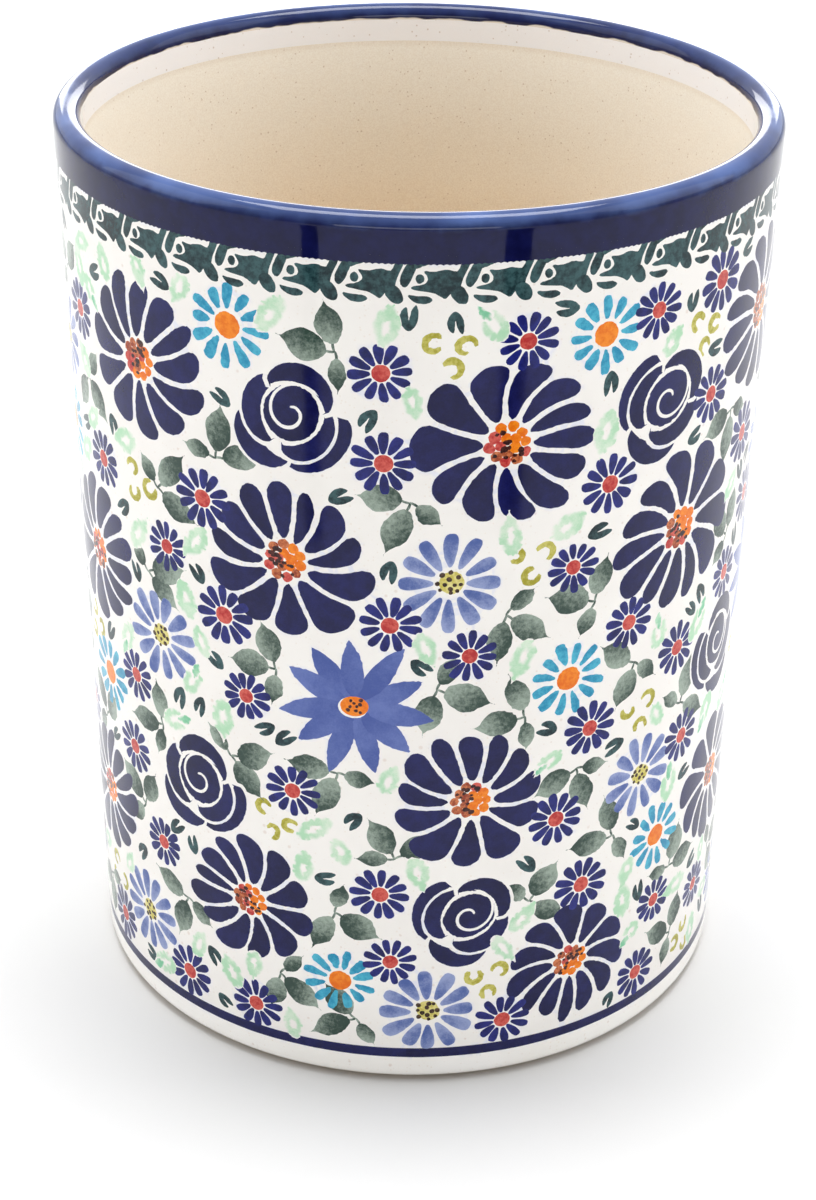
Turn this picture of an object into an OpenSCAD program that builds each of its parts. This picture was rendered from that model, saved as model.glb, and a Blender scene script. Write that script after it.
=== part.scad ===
// Hand-painted stoneware jar with straight sides, a rounded lip and a turned foot ring.
// Origin: centre of the jar's footprint on the resting plane, +Z up, millimetres.
// Every node is a body of revolution about Z: the fired clay, and the coats that lie on it.

/* [Jar] */
// Height from the resting plane to the top of the lip
jar_h = 178; // [130:1:220]
// Outside diameter where the lip's rounding starts
top_d = 135; // [125:1:145]
// Outside diameter of the wall, carried down to the resting plane
base_d = 128.5; // [125:0.5:135]
// Thickness of the finished wall, clay and both coats
wall_t = 5; // [5:0.5:8]
// Thickness of the finished floor inside the foot ring
floor_t = 5; // [4:0.5:8]

/* [Foot] */
// Radius of the rounding between the wall and the foot ring
foot_round_r = 3; // [2.6:0.1:3]
// Width of the bare clay ring that the jar rests on
ring_w = 5.5; // [4:0.5:8]
// Depth of the recess inside the ring, up to the bare clay
recess_h = 2.6; // [1.6:0.2:2.6]
// Radius of the ring's two lower edges
ring_edge_r = 0.6; // [0.4:0.1:0.8]

/* [Coats] */
// Thickness of every coat of slip, paint and glaze
coat_t = 0.4; // [0.3:0.05:0.5]
// Width of the cobalt band on the outside, down from the top of the lip
rim_band_h = 8.2; // [6:0.2:14]
// How far the cobalt runs down the inside below the lip's rounding
inner_rim_drop = 0.3; // [0.2:0.1:4]
// Width of the leaf border under the cobalt band
border_h = 6.4; // [4:0.2:12]
// Height of the cobalt line's lower edge above the resting plane
line_z = 6.1; // [5:0.1:12]
// Width of the cobalt line
line_h = 2.2; // [1:0.1:4]
// Height at which the glaze stops on the foot rounding
bare_z = 1.2; // [0.9:0.1:2]

/* [Inside] */
// Width of the pale collar that follows the inner cobalt band
collar_h = 4.4; // [3:0.2:10]
// Radius of the cove between the floor and the wall
cove_r = 6; // [4:1:8]

/* [Hidden] */
$fn = 96;

clay_colour = "#C9B79C";
cobalt = "#2B2A66";
painted_cream = "#F1EEE8";
leaf_green = "#5F7F73";
foot_cream = "#EFEAE2";
collar_cream = "#F0E8DA";
inner_cream = "#DDCBAE";

// Centre of the lip's half-round section
lip_r = wall_t / 2;
lip_z = jar_h - lip_r;
lip_x = top_d / 2 - lip_r;

// Centre of the foot rounding; the ring's outer face stands under it
foot_z = foot_round_r + 0.2;
foot_x = outer_r(foot_z) - foot_round_r;
ring_in = foot_x - ring_w;

// Top of the finished floor, and the centre of the cove around it
floor_z = recess_h - coat_t + floor_t;
cove_z = floor_z + cove_r;
cove_x = inner_r(cove_z) - cove_r;
// Inner face of the clay wall beside the floor, straight up to the top of the cove
wall_in = inner_r(cove_z) + coat_t;

// Heights where one coat ends and the next begins
rim_band_z = jar_h - rim_band_h;
border_z = rim_band_z - border_h;
line_top_z = line_z + line_h;
inner_rim_z = lip_z - inner_rim_drop;
collar_z = inner_rim_z - collar_h;

// Radius of the finished outside and inside at height z, straight from the foot to the lip
function outer_r(z) = base_d / 2 + (top_d - base_d) / 2 * z / lip_z;
function inner_r(z) = outer_r(z) - wall_t;

// Half section of the coat on the outside of the wall
module outside_coat(low_z, high_z) {
  polygon([
    [outer_r(low_z) - coat_t, low_z],
    [outer_r(low_z), low_z],
    [outer_r(high_z), high_z],
    [outer_r(high_z) - coat_t, high_z]
  ]);
}

// Half section of the coat on the inside of the wall
module inside_coat(low_z, high_z) {
  polygon([
    [inner_r(low_z), low_z],
    [inner_r(low_z) + coat_t, low_z],
    [inner_r(high_z) + coat_t, high_z],
    [inner_r(high_z), high_z]
  ]);
}

// Half-round end of the wall, cut back by depth
module lip_section(depth) {
  intersection() {
    translate([lip_x, lip_z]) circle(r = lip_r - depth);
    translate([0, lip_z]) square([top_d, lip_r]);
  }
}

// Quarter-round between the wall and the foot ring, cut back by depth and stopped at low_z
module foot_section(depth, low_z) {
  intersection() {
    translate([foot_x, foot_z]) circle(r = foot_round_r - depth);
    translate([foot_x, low_z]) square([foot_round_r, foot_z - low_z]);
  }
}

// Half section of everything inside the wall, up to the top of the cove
module floor_block() {
  translate([0, recess_h]) square([wall_in, cove_z - recess_h]);
}

// Half section of the space above the floor, let down into the floor and the cove by depth
module free_section(depth) {
  translate([0, floor_z - depth]) square([cove_x, jar_h]);
  translate([cove_x, cove_z]) circle(r = cove_r + depth);
}

// Fired clay wall, from the foot rounding to the round lip
module clay_wall() {
  color(clay_colour) rotate_extrude() {
    polygon([
      [foot_x, recess_h],
      [foot_x, foot_z],
      [outer_r(foot_z) - coat_t, foot_z],
      [outer_r(lip_z) - coat_t, lip_z],
      [inner_r(lip_z) + coat_t, lip_z],
      [wall_in, cove_z],
      [wall_in, recess_h]
    ]);
    lip_section(coat_t);
    foot_section(coat_t, 0);
  }
}

// Fired clay floor inside the wall, with the cove at its edge
module clay_floor() {
  color(clay_colour) rotate_extrude() difference() {
    floor_block();
    free_section(coat_t);
  }
}

// Bare clay ring that the jar rests on, with two rounded lower edges
module foot_ring() {
  color(clay_colour) rotate_extrude() {
    translate([ring_in, ring_edge_r]) square([ring_w, recess_h - ring_edge_r]);
    translate([ring_in + ring_edge_r, 0]) square([ring_w - 2 * ring_edge_r, ring_edge_r]);
    for (x = [ring_in + ring_edge_r, foot_x - ring_edge_r])
      translate([x, ring_edge_r]) circle(r = ring_edge_r);
  }
}

// Cobalt glaze over the lip, with its wide outside band and its narrow inside band
module cobalt_rim_glaze() {
  color(cobalt) rotate_extrude() {
    outside_coat(rim_band_z, lip_z);
    inside_coat(inner_rim_z, lip_z);
    difference() {
      lip_section(0);
      lip_section(coat_t);
    }
  }
}

// Painted coat that carries the row of stamped leaves
module leaf_border_glaze() {
  color(leaf_green) rotate_extrude() outside_coat(border_z, rim_band_z);
}

// Painted coat that carries the flowers
module floral_glaze() {
  color(painted_cream) rotate_extrude() outside_coat(line_top_z, border_z);
}

// Cobalt line above the foot
module cobalt_foot_line() {
  color(cobalt) rotate_extrude() outside_coat(line_z, line_top_z);
}

// Cream coat below the line, carried down over the foot rounding
module foot_band_glaze() {
  color(foot_cream) rotate_extrude() {
    outside_coat(foot_z, line_z);
    difference() {
      foot_section(0, bare_z);
      foot_section(coat_t, 0);
    }
  }
}

// Pale collar on the inside, under the cobalt
module inner_collar_glaze() {
  color(collar_cream) rotate_extrude() inside_coat(collar_z, inner_rim_z);
}

// Coat on the inside of the wall, down to the cove
module inner_wall_glaze() {
  color(inner_cream) rotate_extrude() inside_coat(cove_z, collar_z);
}

// Coat on the floor and the cove
module inner_floor_glaze() {
  color(inner_cream) rotate_extrude() difference() {
    intersection() {
      floor_block();
      free_section(coat_t);
    }
    free_section(0);
  }
}

// Coat inside the recess of the foot ring
module underside_glaze() {
  color(foot_cream) translate([0, 0, recess_h - coat_t]) cylinder(r = ring_in, h = coat_t);
}

clay_wall();
clay_floor();
foot_ring();
cobalt_rim_glaze();
leaf_border_glaze();
floral_glaze();
cobalt_foot_line();
foot_band_glaze();
inner_collar_glaze();
inner_wall_glaze();
inner_floor_glaze();
underside_glaze();
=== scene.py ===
"""Looks of a hand-painted stoneware jar: its painted coats, its glazes, the studio and the camera.

The painted coat is drawn in the flat: u runs round the jar in millimetres, v is the height. Every brush
mark is a closed outline. The outlines and a loose grid of points are triangulated together, each triangle
takes the paint of the topmost mark over it, and the sheet is then rolled onto the wall.
"""
import math
import random

from collections import namedtuple

import bpy
import numpy as np
from mathutils import Matrix, Vector
from mathutils.geometry import delaunay_2d_cdt


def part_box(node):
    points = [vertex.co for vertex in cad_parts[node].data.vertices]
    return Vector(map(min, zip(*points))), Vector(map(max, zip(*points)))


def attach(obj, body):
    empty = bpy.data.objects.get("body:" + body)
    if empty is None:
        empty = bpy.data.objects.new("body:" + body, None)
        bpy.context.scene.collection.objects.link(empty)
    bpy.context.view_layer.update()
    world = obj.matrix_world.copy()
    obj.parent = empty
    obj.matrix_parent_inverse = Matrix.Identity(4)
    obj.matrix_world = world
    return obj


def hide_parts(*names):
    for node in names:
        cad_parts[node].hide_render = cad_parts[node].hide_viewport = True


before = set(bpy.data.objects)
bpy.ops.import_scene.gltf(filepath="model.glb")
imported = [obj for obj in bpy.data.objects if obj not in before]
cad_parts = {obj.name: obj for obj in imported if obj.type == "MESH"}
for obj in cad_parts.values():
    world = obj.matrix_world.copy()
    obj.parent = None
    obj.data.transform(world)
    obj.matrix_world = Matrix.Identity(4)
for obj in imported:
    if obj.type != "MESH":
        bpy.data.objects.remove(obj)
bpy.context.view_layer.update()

MM = 0.001
TURN = 2 * math.pi


# ---------------------------------------------------------------- sizes, from the CAD parts

def top_mm(node):
    """Height of a CAD node's upper edge."""
    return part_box(node)[1].z / MM


def bottom_mm(node):
    """Height of a CAD node's lower edge."""
    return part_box(node)[0].z / MM


def radius_mm(node):
    """Largest radius of a CAD node."""
    low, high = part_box(node)
    return max(high.x, high.y, -low.x, -low.y) / MM


JAR_H = top_mm("cobalt_rim_glaze")
BAND_Z = bottom_mm("cobalt_rim_glaze")
BORDER_Z = bottom_mm("leaf_border_glaze")
LINE_TOP_Z = top_mm("cobalt_foot_line")
LINE_Z = bottom_mm("cobalt_foot_line")
BARE_Z = bottom_mm("foot_band_glaze")
COLLAR_TOP_Z = top_mm("inner_collar_glaze")
COLLAR_Z = bottom_mm("inner_collar_glaze")
COVE_Z = bottom_mm("inner_wall_glaze")
RECESS_Z = bottom_mm("underside_glaze")
COAT = top_mm("underside_glaze") - RECESS_Z

RIM_R = radius_mm("cobalt_rim_glaze")
LINE_R = radius_mm("cobalt_foot_line")
RING_R = radius_mm("foot_ring")
LIP_R = (RIM_R - radius_mm("inner_collar_glaze") + COAT) / 2
LIP_Z = JAR_H - LIP_R
WALL_T = 2 * LIP_R
TAPER = (RIM_R - LINE_R) / (LIP_Z - LINE_TOP_Z)
FLOOR_Z = bottom_mm("inner_floor_glaze") + COAT

# Edges of the painted sheet: a little below the foot line and a little above the band's lower edge
SHEET_LOW = LINE_Z - 1.5
SHEET_HIGH = BAND_Z + 1.6
FLAT_R = RIM_R - TAPER * (LIP_Z - 85)
AROUND = TURN * FLAT_R


def wall_r(z):
    """Outside radius of the plain cone at height z."""
    return RIM_R - TAPER * (LIP_Z - z)


def hand(angle, z):
    """How far the thrown wall wanders from a true circle, in millimetres."""
    throw = 0.05 * np.sin(2 * angle + 0.7 + z * 0.012) + 0.03 * np.sin(3 * angle - 1.1 + z * 0.03)
    ribs = 0.022 * np.sin(z * 0.21 + 0.8 * np.sin(angle)) + 0.016 * np.sin(z * 0.47 + 2.0)
    return throw + ribs - 0.1


# ---------------------------------------------------------------- colours

def srgb(code):
    """Linear colour of a #rrggbb code."""
    parts = [int(code[i:i + 2], 16) / 255 for i in (1, 3, 5)]
    return tuple(((c + 0.055) / 1.055) ** 2.4 if c > 0.04045 else c / 12.92 for c in parts)


# name: (thick paint, thin paint, sponge mottling, its size in mm, lighter edges, shading across the mark)
PAINTS = {
    "ground": ("#F7F4EF", "#F3EFEA", 0.0, 1.0, 0.0, 0.0),
    "cream": ("#FDFBF7", "#FAF7F1", 0.0, 1.0, 0.0, 0.0),
    "cobalt": ("#080A3C", "#181C5C", 0.35, 2.6, 0.3, 0.15),
    "band_blue": ("#080A30", "#14184C", 0.0, 3.0, 0.0, 0.0),
    "aster_blue": ("#0D1250", "#22297E", 0.45, 1.6, 0.35, 0.15),
    "periwinkle": ("#4A5F9F", "#94A1CB", 0.3, 1.8, 0.6, 0.4),
    "star_blue": ("#43569B", "#6576B5", 0.3, 3.0, 0.15, 0.3),
    "turquoise": ("#1B86AE", "#4CB4CF", 0.5, 1.2, 0.3, 0.25),
    "orange": ("#E56A04", "#F6901F", 0.6, 1.0, 0.2, 0.15),
    "red": ("#B22A2B", "#D45F52", 0.7, 0.8, 0.5, 0.2),
    "russet": ("#8E3420", "#D07A4A", 0.8, 0.6, 0.3, 0.2),
    "yellow": ("#C4B64E", "#E6DC92", 0.7, 0.8, 0.3, 0.15),
    "brown": ("#241611", "#57402F", 0.7, 0.7, 0.2, 0.15),
    "plum": ("#200F12", "#5A2A22", 0.7, 0.6, 0.2, 0.15),
    "olive": ("#A19A28", "#CBC468", 0.7, 0.8, 0.5, 0.2),
    "sage": ("#32473F", "#9AA99C", 0.35, 0.9, 0.1, 0.55),
    "fir": ("#0F272D", "#395B5E", 0.6, 1.1, 0.3, 0.25),
    "mint": ("#B0DBB7", "#DCECD8", 0.5, 2.4, 0.0, 0.4),
    "jade": ("#7AC49A", "#B4DDBF", 0.5, 2.0, 0.0, 0.5),
}
SOFT_PAINTS = ("mint", "jade")
BLUES = ("cobalt", "band_blue", "aster_blue", "periwinkle", "star_blue", "turquoise")
GROUNDS = ("ground", "cream")
PAINT_INDEX = {name: i for i, name in enumerate(PAINTS)}


# ---------------------------------------------------------------- single brush marks

# A brush mark: its paint, its closed outline, and a line inside it along which the paint lies thickest
Mark = namedtuple("Mark", "paint outline spine")
NO_SPINE = np.zeros((0, 2))


def spin(points, degrees):
    """Points turned about the origin."""
    a = math.radians(degrees)
    return points @ np.array([[math.cos(a), math.sin(a)], [-math.sin(a), math.cos(a)]])


def turned_mark(mark, degrees):
    """A mark turned about the origin."""
    return Mark(mark.paint, spin(mark.outline, degrees), spin(mark.spine, degrees))


def steps(length, spacing=0.5, least=10):
    """How many points an outline needs for its length."""
    return max(least, int(round(length / spacing)))


def waver(points, rng, size, grain=0.055):
    """An outline with the slow bends and the fine grain of a stamp or a brush."""
    n = len(points)
    s = np.arange(n) / n * TURN
    push = 0
    for k in (2, 3, 5, 7):
        depth = size / k * math.sin(rng.uniform(0, TURN))
        push = push + depth * np.sin(k * s + rng.uniform(0, TURN))
    push = push + np.array([rng.gauss(0, min(size * 0.4, grain)) for _ in range(n)])
    along = np.roll(points, -1, 0) - np.roll(points, 1, 0)
    length = np.maximum(np.hypot(along[:, 0], along[:, 1]), 1e-9)
    return points + np.stack([along[:, 1], -along[:, 0]], 1) / length[:, None] * push[:, None]


def petal(rng, paint, start, end, width, slim, lean, wobble, grain):
    """A club-shaped petal along +x: slim at the start, widest near the end, and curved by lean."""
    n = steps(2 * (end - start) + width)
    s = (np.arange(n) + 0.5) / n * TURN
    t = (1 - np.cos(s)) / 2
    half = width / 2 * np.abs(np.sin(s)) ** 0.7 * (slim + (1 - slim) * t) / 0.76
    side = np.sign(np.sin(s)) * half
    outline = np.stack([start + (end - start) * t, side + lean * (end - start) * t * t], 1)
    t = np.linspace(0.2, 0.86, steps(end - start, 1.2, 3))
    spine = np.stack([start + (end - start) * t, lean * (end - start) * t * t], 1)
    return Mark(paint, waver(outline, rng, wobble, grain), spine)


def fan_petal(rng, paint, start, end, sides, bends, gap):
    """A petal that fills its share of a ring between two sides, which curve by bends, less half a gap."""
    n = steps(end - start, 0.45)
    t = (1 - np.cos(np.linspace(0, math.pi, n))) / 2
    r = start + (end - start) * t
    edges = [side + bent * t ** 1.6 for side, bent in zip(sides, bends)]
    middle = (edges[0] + edges[1]) / 2
    half = (edges[1] - edges[0]) / 2 - gap / 2 / r
    near_end, far_end = np.clip((0.14 - t) / 0.14, 0, 1), np.clip((t - 0.66) / 0.34, 0, 1)
    half = half * np.sqrt(1 - near_end ** 2) * (1 - far_end ** 2.4) ** 0.5
    a = np.concatenate([middle - half, (middle + half)[-2:0:-1]])
    rr = np.concatenate([r, r[-2:0:-1]])
    outline = np.stack([rr * np.cos(a), rr * np.sin(a)], 1)
    spine = np.stack([r * np.cos(middle), r * np.sin(middle)], 1)[3:-3:3]
    return Mark(paint, waver(outline, rng, 0.1, 0.1), spine)


def disc(rng, paint, x, y, r, stretch=1.0, wobble=0.05):
    """A round dab."""
    n = steps(TURN * r, 0.42, 9)
    s = np.arange(n) / n * TURN
    outline = np.stack([x + r * stretch * np.cos(s), y + r / stretch * np.sin(s)], 1)
    return Mark(paint, waver(outline, rng, wobble), np.array([[x, y]]))


def leaf(rng, paint, length, width, start=0.0, point=1.0, wobble=0.08, lean=0.0):
    """A leaf along +x, round at the base, drawn out to a point at the tip and curved by lean."""
    n = steps(2 * length + width)
    s = (np.arange(n) + 0.5) / n * TURN
    t = (1 - np.cos(s)) / 2
    half = width / 2 * np.sin(math.pi * t ** 0.85) ** (0.62 + point * t ** 3)
    outline = np.stack([start + length * t, np.sign(np.sin(s)) * half + lean * length * t * t], 1)
    t = np.linspace(0.15, 0.75, 5)
    return Mark(paint, waver(outline, rng, wobble), np.stack([start + length * t, lean * length * t * t], 1))


def crescent(rng, paint, radius, width, start, end, lean=0.0, grow=0.0):
    """A petal wrapped round the origin: its inner edge is an arc, its outer edge swells and tapers."""
    reach = math.degrees(grow / radius)
    t = np.linspace(0, 1, steps((radius + width) * math.radians(end - start), 0.5))
    a = np.radians(start - reach + (end - start + 2 * reach) * t)
    swell = np.clip(np.sin(math.pi * t ** (2 ** lean)), 0, 1) ** 0.42
    outer = radius + grow + width * swell
    inner = radius - grow + 0.25 * width * (1 - swell)
    unit = np.stack([np.cos(a), np.sin(a)], 1)
    outline = np.concatenate([unit * outer[:, None], (unit * inner[:, None])[-2:0:-1]])
    spine = (unit * ((outer + inner) / 2)[:, None])[2:-2:2]
    return Mark(paint, waver(outline, rng, 0.08, 0.08), NO_SPINE if grow else spine)


def brush(rng, paint, path, width, taper=0.5, lean=0.0, wobble=0.06):
    """A stroke that follows path and tapers to round ends; lean moves its fullest part along."""
    t = np.linspace(0, 1, len(path))
    half = width / 2 * np.clip(np.sin(math.pi * t ** (2 ** lean)), 0, 1) ** taper
    along = np.gradient(path, axis=0)
    along /= np.maximum(np.hypot(along[:, 0], along[:, 1]), 1e-9)[:, None]
    side = np.stack([-along[:, 1], along[:, 0]], 1) * half[:, None]
    outline = np.concatenate([path + side, (path - side)[-2:0:-1]])
    return Mark(paint, waver(outline, rng, wobble), path[2:-2:2])


def arc(radius, start, end, squash, x):
    """Points along a squashed arc about (x, 0), angles in degrees."""
    n = steps(radius * math.radians(abs(end - start)), 0.4, 7)
    a = np.radians(np.linspace(start, end, n))
    return np.stack([x + radius * np.cos(a), radius * squash * np.sin(a)], 1)


def rounded(corners, passes=2):
    """A closed outline through given corners, with its corners cut round."""
    points = np.array(corners, float)
    for _ in range(passes):
        ahead = np.roll(points, -1, 0)
        points = np.stack([0.75 * points + 0.25 * ahead, 0.25 * points + 0.75 * ahead], 1).reshape(-1, 2)
    return points


# ---------------------------------------------------------------- motifs: lists of marks about the origin

def flower(rng, petals, start, end, width, paint, slim, vary, wobble=0.05, grain=0.055):
    """A ring of separate petals; how far they curve changes slowly round the ring."""
    marks = []
    turn, phase = rng.uniform(0, 360), rng.uniform(0, TURN)
    for i in range(petals):
        long = end * rng.uniform(1 - vary, 1 + vary * 0.6)
        wide = width * rng.uniform(1 - 1.6 * vary, 1 + vary)
        bent = 0.05 * (math.sin(phase + TURN * i / petals) + rng.uniform(-0.25, 0.25))
        near = start * rng.uniform(0.93, 1.12)
        shape = petal(rng, paint, near, long, wide, slim, bent, wobble, grain)
        angle = turn + 360 / petals * (i + rng.uniform(-0.06, 0.06)) - math.degrees(bent) / 2
        marks.append(turned_mark(shape, angle))
    return marks


def great_daisy(rng):
    """Twelve broad curved cobalt petals round a cluster of orange, russet and red dabs."""
    phase, petals = rng.uniform(0, TURN), 12
    sides = [phase + TURN * (i + rng.uniform(-0.09, 0.09)) / petals for i in range(petals)]
    bends = [0.3 * math.sin(2 * phase + TURN * i / petals) + rng.uniform(-0.06, 0.06) for i in range(petals)]
    marks = []
    for i in range(petals):
        ahead = (i + 1) % petals
        span = (sides[i], sides[ahead] + (TURN if ahead == 0 else 0))
        near, far = rng.uniform(4.0, 4.6), rng.uniform(14.4, 16.6)
        marks.append(fan_petal(rng, "cobalt", near, far, span, (bends[i], bends[ahead]), 0.95))
    turn = rng.uniform(-50, 50)
    for reach, count in ((3.1, 10), (1.35, 5)):
        for i in range(count):
            angle = 360 / count * i + turn
            a, r = math.radians(angle), reach * rng.uniform(0.88, 1.1)
            side = math.cos(math.radians(angle - turn)) + rng.uniform(-0.35, 0.35)
            paint = "orange" if side > 0.1 else rng.choice(("russet", "russet", "red"))
            size = rng.uniform(0.9, 1.15)
            marks.append(disc(rng, paint, r * math.cos(a), r * math.sin(a), size, wobble=0.12))
    for i in range(16):
        a, r = math.radians(turn + 180 + rng.uniform(-130, 130)), rng.uniform(0.4, 3.6)
        marks.append(disc(rng, "plum", r * math.cos(a), r * math.sin(a), rng.uniform(0.3, 0.6), 1.1, 0.1))
    return marks


def aster(rng):
    """Twelve narrow blue petals round a red dab."""
    marks = flower(rng, 12, 1.7, 5.6, 1.68, "aster_blue", slim=0.5, vary=0.07, grain=0.07)
    return marks + [disc(rng, "red", 0, 0, 1.6)]


def turquoise_daisy(rng):
    """Slender turquoise petals round an orange disc."""
    marks = flower(rng, 12, 2.9, 7.5, 2.0, "turquoise", slim=0.45, vary=0.11, wobble=0.12)
    return marks + [disc(rng, "orange", 0, 0, 2.35, wobble=0.12)]


def pale_daisy(rng):
    """Periwinkle petals round a yellow dab with brown dots."""
    marks = flower(rng, 12, 2.8, 9.1, 2.6, "periwinkle", slim=0.42, vary=0.07)
    marks.append(disc(rng, "yellow", 0.2, 0.2, 2.15, wobble=0.2))
    for reach, count in ((2.0, 8), (0.9, 4)):
        for i in range(count):
            a, r = TURN * (i + rng.uniform(-0.25, 0.25)) / count, reach * rng.uniform(0.85, 1.1)
            marks.append(disc(rng, "brown", r * math.cos(a), r * math.sin(a), rng.uniform(0.34, 0.52)))
    return marks


def star_flower(rng):
    """Eleven pointed blue petals that join in the middle, with a dotted orange eye."""
    marks = [disc(rng, "star_blue", 0, 0, 5.3)]
    turn = rng.uniform(0, 360)
    for i in range(11):
        long, wide, bent = rng.uniform(11.2, 13.2), rng.uniform(4.1, 4.7), rng.uniform(-0.06, 0.06)
        shape = leaf(rng, "star_blue", long, wide, 2.0, 0.2, 0.14, bent)
        marks.append(turned_mark(shape, turn + 360 / 11 * (i + rng.uniform(-0.07, 0.07))))
    marks.append(disc(rng, "ground", -0.3, -0.3, 2.4, 1.12))
    marks.append(disc(rng, "orange", 0, 0, 2.3, 1.12))
    for i in range(9):
        a, r = TURN * i / 9 * 2.4, 0.45 + 1.5 * i / 9
        marks.append(disc(rng, "plum", r * math.cos(a), r * math.sin(a), rng.uniform(0.32, 0.42)))
    return marks


# Crescent petals of the rose, outermost first: inner radius, width, start and end angle, where it is fullest
ROSE_PETALS = [
    (7.3, 3.3, 160, 258, -0.5),
    (7.2, 3.7, 252, 340, 0.3),
    (5.1, 3.4, 282, 408, 0.1),
    (5.1, 3.0, 146, 268, 0.3),
    (5.1, 3.1, 28, 158, -0.2),
]
ROSE_GAP = 0.5


def rose(rng):
    """A cobalt heart with a coiled slit, and crescent petals tucked under one another round it."""
    marks = []
    for radius, width, start, end, lean in ROSE_PETALS:
        marks.append(crescent(rng, "ground", radius, width, start, end, lean, ROSE_GAP))
        marks.append(crescent(rng, "cobalt", radius, width, start, end, lean))
    marks.append(disc(rng, "ground", 0, 0, 4.6 + ROSE_GAP, wobble=0.1))
    marks.append(disc(rng, "cobalt", 0, 0, 4.6, wobble=0.2))
    s = np.linspace(0, 1, 40)
    reach = 0.95 + 4.5 * s ** 1.5
    coil = np.stack([reach * np.cos(TURN * (0.15 + 1.2 * s)), reach * np.sin(TURN * (0.15 + 1.2 * s))], 1)
    marks.append(brush(rng, "ground", coil, ROSE_GAP + 0.05, 0.15, wobble=0.03))
    turn, flip = rng.uniform(-50, 50), rng.choice((-1, 1))
    shape = np.array([1.04 * flip, 1.14])
    return [turned_mark(Mark(m.paint, m.outline * shape, m.spine * shape), turn) for m in marks]


def sprig(rng):
    """Three sage leaves on thin stalks that meet at a point."""
    marks = []
    turn = rng.uniform(0, 360)
    for offset, size in ((-82, 1.0), (0, 1.08), (88, 0.72)):
        angle = turn + offset + rng.uniform(-14, 14)
        stalk = np.array([[-0.3, 0], [0.3, 0.1], [0.9, 0.12], [1.5, 0.05], [2.1, 0]])
        marks.append(turned_mark(brush(rng, "sage", stalk, 0.5, 0.3, wobble=0.02), angle))
        length = size * rng.uniform(7.8, 9.3)
        width = size * rng.uniform(4.5, 5.5)
        bent = rng.uniform(-0.12, 0.12)
        shape = leaf(rng, "sage", length, width, 1.4, 2.3, 0.16, bent)
        marks.append(turned_mark(shape, angle + rng.uniform(-10, 10)))
    return marks


NOTCHED = [(1.15, -0.02), (0.75, 0.36), (0.2, 0.52), (-0.4, 0.54), (-0.98, 0.42), (-0.5, 0.13), (0.1, 0.04),
           (0.34, -0.01), (-0.2, -0.04), (-0.82, -0.1), (-0.5, -0.42), (0.1, -0.54), (0.65, -0.4)]


def notched_leaf(rng):
    """A small dark leaf with a slit at its base."""
    shape = rounded(NOTCHED) * (rng.uniform(2.1, 2.6), rng.uniform(2.8, 3.2) * rng.choice((-1, 1)))
    spine = np.array([[0.6, -0.1], [0.35, -0.2]]) * (2.2, 3.0)
    return [turned_mark(Mark("fir", waver(shape, rng, 0.05), spine), rng.uniform(0, 360))]


def mint_leaf(rng):
    """A soft sponged leaf that is open in the middle; now and then one end is a stronger green."""
    length, width = rng.uniform(8.2, 10.0), rng.uniform(4.5, 5.3)
    outer = leaf(rng, "mint", length, width, -length / 2, 0.8, 0.25)
    ring = leaf(rng, "mint", length * 0.66, width * 0.52, -length * 0.36, 0.5, 0.1).outline[::2]
    hole = leaf(rng, "ground", length * rng.uniform(0.12, 0.32), width * 0.16, -length * 0.2, 0.4, 0.1)
    marks = [Mark("mint", outer.outline, np.concatenate([ring, ring[:1]]))]
    marks.append(Mark("ground", hole.outline, NO_SPINE))
    if rng.random() < 0.3:
        marks.append(turned_mark(leaf(rng, "jade", length * 0.5, width * 0.42, length * 0.02, 0.8, 0.2), 8))
    turn = rng.choice((20, 50, 80, 110, 200, 230, 260, 290)) + rng.uniform(-20, 20)
    return [turned_mark(mark, turn) for mark in marks]


def curl(rng):
    """Three separate olive loops, each left open on one side."""
    turn = rng.uniform(0, 360)
    marks = []
    for i in range(3):
        first = rng.uniform(0, 360)
        radius = rng.uniform(1.35, 1.6)
        last = first + rng.uniform(250, 320)
        loop = arc(radius, first, last, rng.uniform(0.8, 1.15), 3.1)
        mark = brush(rng, "olive", loop, rng.uniform(1.15, 1.4), 0.25, rng.uniform(-0.4, 0.4), 0.16)
        marks.append(turned_mark(mark, turn + 120 * i + rng.uniform(-16, 16)))
    return marks


# One repeat of the leaf border, about the middle of its pointed leaf; it hangs from the cobalt band
STAR_LEAF = [(-4.6, 2.3), (-2.6, 1.9), (-0.7, 2.5), (0.8, 2.0), (1.3, 2.2), (2.0, 4.2), (3.6, 4.2),
             (1.8, 0.3), (1.7, -1.4), (0.2, -1.6), (-0.7, -3.0), (-1.6, -2.3), (-2.9, -1.6), (-6.4, -1.2),
             (-6.3, -0.6), (-4.2, -0.3), (-3.4, 0.7)]
HANGING_LOBE = [(0.2, -0.6), (1.9, -0.3), (3.1, -2.2), (2.9, -3.7), (1.3, -3.7), (-0.1, -2.0)]
TONGUE = [(4.1, 4.2), (5.9, 4.2), (5.0, 2.4), (4.1, -0.1), (3.2, -1.0), (2.4, -0.2), (2.6, 1.3)]
BAND_EDGE = [(4.6, 4.4), (7.2, 4.4), (7.4, 3.3), (5.9, 2.8), (4.8, 2.3)]
FLAT_LEAF = [(-7.0, -2.0), (-5.3, -2.3), (-3.4, -2.3), (-2.6, -3.0), (-3.6, -3.7), (-5.4, -3.6),
             (-6.6, -2.8)]


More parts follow.
